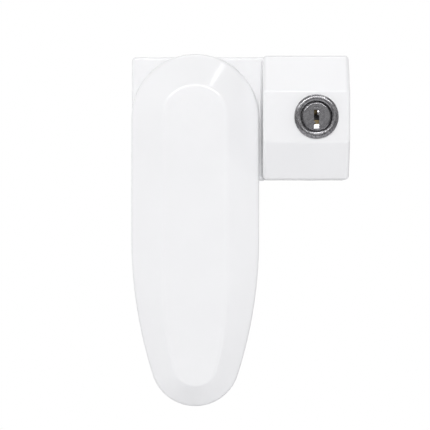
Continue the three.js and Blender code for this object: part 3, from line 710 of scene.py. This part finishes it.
piece(arm_cover(), "arm_shell", "arm", "arm_white", "arm_cover")
piece(arm_plate(), "arm_backing", "arm", "zinc_steel", "arm_plate")
piece(buffer_pad(), "arm_bumper", "arm", "rubber", "buffer_pad")
for number, at in enumerate(shifted(ARM_SCREWS, PIVOT_X), 1):
    screw = countersunk(ARM_SCREW["head"], ARM_SCREW["shank"], PLATE["rear"] + 0.1, ARM_SCREW["end"], at)
    piece(screw, f"arm_fastener_{number}", "arm", "zinc_steel", f"arm_screw_{number}")

# ---------------------------------------------------------------- spindle and its nut


def threaded(radius, depth, pitch, rear, front, centre):
    """A bar with one helical thread that runs out at its rear end."""
    around, per_pitch, run_out = 48, 10, 0.6
    along = int((front - rear) / pitch * per_pitch)
    rings = []
    for i in range(along + 1):
        d = rear + (front - rear) * i / along
        fade = min(1, (d - rear) / run_out)
        ring = []
        for j in range(around):
            phase = (d / pitch - j / around) % 1
            r = radius - depth * (1 - fade * (1 - abs(2 * phase - 1)))
            a = 2 * math.pi * j / around
            ring.append((centre[0] + r * math.cos(a), centre[1] + r * math.sin(a), d))
        rings.append(ring)
    return loft(rings)


def spindle():
    centre = (PIVOT_X, 0)
    collar, rear, front = (SPINDLE[key] for key in ("collar", "collar_rear", "collar_front"))
    shaft, shaft_rear, chamfer = (SPINDLE[key] for key in ("shaft", "shaft_rear", "chamfer"))

    def square(half, start, end):
        return slab(shifted(rectangle(half, half), PIVOT_X), 0.4, start, end, 0.2)

    head = [(collar - chamfer, rear), (collar, rear + chamfer)]
    head += [(collar, front - chamfer), (collar - chamfer, front)]
    bar = [(shaft - chamfer, shaft_rear), (shaft, shaft_rear + chamfer), (shaft, PLATE["rear"] - 0.05)]
    return gathered(
        turned(head, centre),
        square(SPINDLE["plate_square"], PLATE["rear"] - 0.1, rear + 0.2),
        turned(bar, centre),
        square(SPINDLE["end_square"], SPINDLE["end_rear"], shaft_rear + 0.4),
        threaded(**SPINDLE_THREAD, centre=centre),
    )


def spindle_nut():
    """A hexagon nut with both faces chamfered."""
    centre = (PIVOT_X, 0)
    rear, front, chamfer, bore = (NUT[key] for key in ("rear", "front", "chamfer", "bore"))
    corner, face = NUT["half_flats"] / math.cos(math.pi / 6), NUT["half_flats"] - 0.15
    hexagon = circle(corner, centre, 6)
    drum = [(face, rear), (corner, rear + chamfer), (corner, front - chamfer), (face, front)]
    body = combined(pressed(hexagon, rear, front), [turned(drum, centre)], "INTERSECT")
    mouth = bore + 0.55
    return cut(body, turned([(mouth, rear - 1), (mouth, rear), (bore, rear + 0.5), (bore, 5)], centre, 64))


piece(spindle(), "pivot_spindle", "arm", "zinc_steel", "spindle")
piece(spindle_nut(), "pivot_nut", "arm", "zinc_steel", "spindle_nut")

# ---------------------------------------------------------------- lock cylinder


def cylinder_housing():
    rosette, face, body, rear, bore = (HOUSING[key] for key in ("rosette", "face", "body", "rear", "bore"))
    flange = BOX["top"] + 0.1
    recess = PLUG["head"] + 0.2
    seat = PLUG["shoulder"] - 0.1
    profile = [
        (bore, rear),
        (body - 0.3, rear),
        (body, rear + 0.3),
        (body, flange),
        (rosette, flange),
        (rosette, face - 0.86),
        (rosette - 0.05, face - 0.7),
        (rosette - 0.18, face - 0.58),
        (rosette - 0.86, face - 0.22),
        (rosette - 1.0, face - 0.15),
        (rosette - 1.2, face - 0.11),
        (recess + 1.1, face),
        (recess + 1.0, face - 0.05),
        (recess + 0.45, face - 0.5),
        (recess + 0.36, face - 0.62),
        (recess, face - 1.9),
        (recess, seat),
        (bore, seat),
    ]
    housing = turned(profile, (LOCK_X, 0), 144, closed=True)
    flat_half, past = HOUSING["flat"], 12  # the second is well outside the housing
    half, reach = WAFER_GROOVE["half"], WAFER_GROOVE["reach"]
    groove_depth = (WAFER_GROOVE["rear"], WAFER_GROOVE["front"])
    dot, dot_at = INDEX_DOT["radius"], (LOCK_X + INDEX_DOT["x"], INDEX_DOT["up"])
    tools = [
        block((LOCK_X + flat_half, LOCK_X + past), (-past, past), (0, flange)),
        block((LOCK_X - past, LOCK_X - flat_half), (-past, past), (0, flange)),
        block((LOCK_X - half, LOCK_X + half), (-reach, reach), groove_depth),
        block((LOCK_X - reach, LOCK_X + reach), (-half, half), groove_depth),
        turned([(0.12, face - INDEX_DOT["depth"]), (dot, face), (dot, face + 1)], dot_at, 24),
    ]
    return cut(housing, *tools)


def keyway_outline(grow=0.0):
    """The key's section: a slot narrowed by one rib low on the left and one high on the right."""
    half, bottom, top = KEYWAY["half"], KEYWAY["bottom"], KEYWAY["top"]
    outline = [
        (half, bottom),
        (half, 0.5),
        (0.35, 0.7),
        (0.35, 1.3),
        (half, 1.5),
        (half, top),
        (-half, top),
        (-half, -2.1),
        (-0.35, -2.3),
        (-0.35, -2.9),
        (-half, -3.1),
        (-half, bottom),
    ]
    return shifted(rounded(moved_in(outline, -grow), KEYWAY["corner"], 3), LOCK_X)


def across_plug(section, left, right):
    """An (up, depth) section pushed through from left to right of the plug's middle."""
    return loft([[(LOCK_X + x, up, depth) for up, depth in section] for x in (left, right)])


def plug():
    body, head, rear, shoulder, face = (PLUG[key] for key in ("body", "head", "rear", "shoulder", "face"))
    centre = (LOCK_X, 0)
    profile = [
        (TANG["radius"], TANG["rear"]),
        (TANG["radius"], rear),
        (body, rear),
        (body, shoulder),
        (head, shoulder),
        (head, face - 0.6),
        (head - 0.05, face - 0.42),
        (head - 0.18, face - 0.25),
        (head - 0.4, face - 0.1),
        (head - 0.64, face),
    ]
    bar = turned(profile, centre, 128)
    mouth = KEYWAY["mouth"]
    narrow, wide = keyway_outline(), keyway_outline(mouth)
    keyway = [(narrow, KEYWAY["end"]), (narrow, face - mouth), (wide, face), (wide, face + 1)]
    tools = [loft([flat(outline, depth) for outline, depth in keyway])]
    half, past = WAFER_SLOT["half_width"], 8  # the second is well outside the plug
    lug, pocket = ([LOCK_X + x for x in reach] for reach in (WAFER_SLOT["lug"], SPRING_POCKET["across"]))
    for depth in WAFER_DEPTHS:
        slot = (depth - WAFER_SLOT["half_depth"], depth + WAFER_SLOT["half_depth"])
        round_spring = (depth - SPRING_POCKET["half_depth"], depth + SPRING_POCKET["half_depth"])
        tools.append(block((LOCK_X - half, LOCK_X + half), (-past, past), slot))
        tools.append(block(lug, WAFER_SLOT["lug_up"], slot))
        tools.append(block(pocket, SPRING_POCKET["up"], round_spring))
    tools.append(rod(TANG["pilot"], 0, TANG["pilot_end"], centre, 24))
    turn = Matrix.Translation(place(LOCK_X, 0, 0)) @ Matrix.Rotation(-math.pi / 4, 4, "Y")
    for beside in ((TANG["half"], past), (-past, -TANG["half"])):
        flank = block((-past, past), beside, (0, rear - 0.05))
        flank.data.transform(turn)
        tools.append(flank)
    mark = [(3.8, face + 0.05), (4.4, face + 0.05), (4.35, face - 0.25), (4.25, face - 0.3)]
    tools.append(across_plug(mark, -1.1, 1.1))
    ramp = [(-5.6, 34.8), (-3.4, 34.8), (-3.4, face - 1.0), (-5.1, face - 0.55), (-5.6, face - 0.55)]
    lip = [(1.9, 36.5), (3.3, 36.5), (3.3, face - 0.9), (1.9, face - 0.5)]
    return join(cut(bar, *tools), across_plug(ramp, -1.15, 1.15), across_plug(lip, 0.4, 1.15))


piece(cylinder_housing(), "cylinder_rosette", "case", "housing_nickel", "cylinder_housing")
piece(plug(), "cylinder_plug", "plug", "plug_nickel", "plug")

# ---------------------------------------------------------------- CAD nodes that keep their shape


def numbered(name, count):
    return [f"{name}_{i}" for i in range(1, count + 1)]


CARRIED = {
    "zinc_steel": [
        "locking_disc",
        "cam",
        "cam_screw",
        "cylinder_nut",
        "slide_guide",
        *numbered("guide_screw", len(COLUMNS)),
    ],
    "brass": numbered("wafer", len(WAFER_DEPTHS)),
    "bronze": ["pivot_bush"],
    "spring_steel": ["stop_pin", "spring_washer", *numbered("wafer_spring", len(WAFER_DEPTHS))],
    "black_steel": ["locking_slide"],
    "acetal": ["thrust_washer"],
}
for slot, names in CARRIED.items():
    for name in names:
        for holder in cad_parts[name].material_slots:
            holder.material = MATERIALS[slot]

# ---------------------------------------------------------------- floor, light and camera
# From here on lengths are metres, and places are Blender's own x, y and z.

FLOOR_Z, FLOOR_HALF = -0.6, 2.5

# How bright the room is: behind the camera, all round, and as a factor at the sides and below
FRONT_LEVEL, ROOM_LEVEL, SIDE_LEVEL, BELOW_LEVEL = 0.5, 0.14, 3.4, 0.2


def floor():
    bm = bmesh.new()
    bmesh.ops.create_grid(bm, x_segments=8, y_segments=8, size=FLOOR_HALF)
    mesh = bpy.data.meshes.new("floor")
    bm.to_mesh(mesh)
    bm.free()
    ground = bpy.data.objects.new("floor", mesh)
    ground.location = (0, 0, FLOOR_Z)
    bpy.context.scene.collection.objects.link(ground)
    paint = Finish("floor_paint", Roughness=0.8)
    paint.colours(paint.noise(6, 4), (0.3, (0.67, 0.67, 0.68)), (0.7, (0.71, 0.71, 0.72)))
    mesh.materials.append(paint.material)


def softbox(name, location, size, power, glossy=True, diffuse=True):
    """A rectangular light aimed at the latch. One that isn't glossy casts no highlight, and one
    that isn't diffuse casts nothing else."""
    aim = Vector((0, 0, -0.03)) - Vector(location)
    data = bpy.data.lights.new(name, "AREA")
    data.shape = "RECTANGLE"
    data.size, data.size_y = size
    data.energy = power
    lamp = bpy.data.objects.new(name, data)
    lamp.location = location
    lamp.visible_glossy = glossy
    lamp.visible_diffuse = diffuse
    lamp.rotation_euler = aim.to_track_quat("-Z", "Y").to_euler()
    bpy.context.scene.collection.objects.link(lamp)


def studio():
    """A dim room with bright side walls and a white sweep behind the latch. The strength is a
    function of direction: x to the right, y away from the camera, z up."""
    world = bpy.data.worlds.new("studio")
    bpy.context.scene.world = world
    world.use_nodes = True
    tree = world.node_tree
    nodes, links = tree.nodes, tree.links
    background = next(node for node in nodes if node.type == "BACKGROUND")
    direction = nodes.new("ShaderNodeTexCoord")
    parts = nodes.new("ShaderNodeSeparateXYZ")
    links.new(direction.outputs["Generated"], parts.inputs["Vector"])
    x, y, z = (parts.outputs[axis] for axis in "XYZ")

    def ranged(value, source, target=(0.0, 1.0)):
        return map_range(tree, value, source, target)

    def maths(operation, *values):
        node = nodes.new("ShaderNodeMath")
        node.operation = operation
        for value, socket in zip(values, node.inputs):
            links.new(value, socket)
        return node.outputs["Value"]

    lean = ranged(z, (-1, 1), (-0.1, 0.1))
    sides = ranged(maths("ADD", maths("ABSOLUTE", x), lean), (0.4, 0.95), (1.0, SIDE_LEVEL))
    below = ranged(z, (-0.5, 0.15), (BELOW_LEVEL, 1.0))
    behind_camera = ranged(z, (-0.2, 0.2), (0.4 * FRONT_LEVEL, 1.4 * FRONT_LEVEL))
    front = nodes.new("ShaderNodeMix")
    front.inputs["B"].default_value = ROOM_LEVEL
    links.new(ranged(y, (-0.97, -0.8)), front.inputs["Factor"])
    links.new(behind_camera, front.inputs["A"])
    room = maths("MULTIPLY", sides, maths("MULTIPLY", below, front.outputs["Result"]))
    backdrop = ranged(y, (0.6, 0.98))
    sweep = maths("MULTIPLY", ranged(y, (0.1, 0.8)), ranged(z, (-0.4, 0.1)))
    strength = maths("MAXIMUM", room, maths("MAXIMUM", sweep, backdrop))
    links.new(strength, background.inputs["Strength"])
    background.inputs["Color"].default_value = (1, 1, 1, 1)


def camera():
    data = bpy.data.cameras.new("camera")
    data.lens = 192.6
    data.sensor_width = 36
    data.clip_start = 0.05
    eye = bpy.data.objects.new("camera", data)
    eye.location = (-0.0111, -1.05, -0.0433)
    eye.rotation_euler = (math.pi / 2, 0, 0)
    bpy.context.scene.collection.objects.link(eye)
    bpy.context.scene.camera = eye


floor()
studio()
# Soft fill first, then the glints that draw the bevels and the rosette's rim
softbox("front_light", (-0.01, -1.6, 0.22), (0.2, 0.3), 13.6, glossy=False)
softbox("left_light", (-1.0, -0.06, 0.12), (0.3, 0.6), 2.6, glossy=False)
softbox("right_light", (1.0, -0.3, 0.05), (0.8, 0.8), 1.9, glossy=False)
softbox("top_light", (0, -0.12, 0.95), (0.6, 0.2), 1.75)
softbox("bar_glint", (0, -0.85, 0.5), (1.0, 0.12), 4, diffuse=False)
softbox("left_glint", (-0.37, -0.63, 0.38), (0.6, 0.06), 0.6, diffuse=False)
softbox("accent_glint", (0.30, -0.42, 0.71), (0.13, 0.05), 0.12, diffuse=False)
softbox("sky_glint", (0, -0.2, 0.9), (0.9, 0.4), 1.0, diffuse=False)
camera()
bpy.context.scene.view_settings.view_transform = "Standard"
